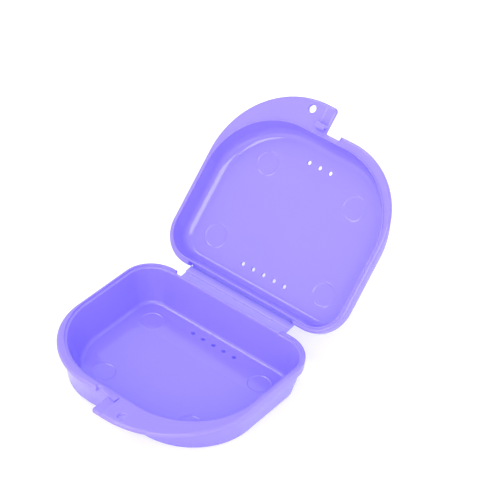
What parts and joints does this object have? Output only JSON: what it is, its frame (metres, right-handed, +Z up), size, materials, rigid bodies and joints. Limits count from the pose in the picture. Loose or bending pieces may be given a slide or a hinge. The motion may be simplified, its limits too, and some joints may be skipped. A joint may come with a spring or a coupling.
{
  "type": "denture case",
  "caption": "Shallow hinged case for a denture or retainer: vented base and lid on a living-hinge strap, with sweeping thumb tabs and a snap latch.",
  "frame": {"origin": "middle of the underside of the base, below the middle of its cavity", "axes": "+Z up from the underside; +Y from the latch side to the hinge side of the base; +X along the hinge, to the right seen from the latch side"},
  "size_m": [0.078, 0.1308, 0.0719],
  "materials": {
    "case_plastic": "semi-gloss injection-moulded polypropylene, periwinkle",
    "hinge_plastic": "the same polypropylene, thinner and so a little paler, satin"
  },
  "bodies": {
    "base": {"base_tub": "case_plastic", "base_rim": "case_plastic", "base_thumb_tab": "case_plastic", "base_latch_ledge": "case_plastic", "base_film_hinge": "hinge_plastic"},
    "strap": {"hinge_strap": "hinge_plastic"},
    "lid": {"lid_film_hinge": "hinge_plastic", "lid_tub": "case_plastic", "lid_rim": "case_plastic", "lid_thumb_tab": "case_plastic", "lid_latch_hook": "case_plastic"}
  },
  "joints": [
    {"name": "base_hinge", "type": "hinge", "parent": "base", "child": "strap", "pos_m": [-0.0013, 0.0326, 0.01275], "axis": [1, 0, 0], "range_deg": [-51, 84]},
    {"name": "lid_hinge", "type": "hinge", "parent": "strap", "child": "lid", "pos_m": [-0.0013, 0.04075, 0.01361], "axis": [1, 0, 0], "range_deg": [-42.2, 47.8]}
  ]
}
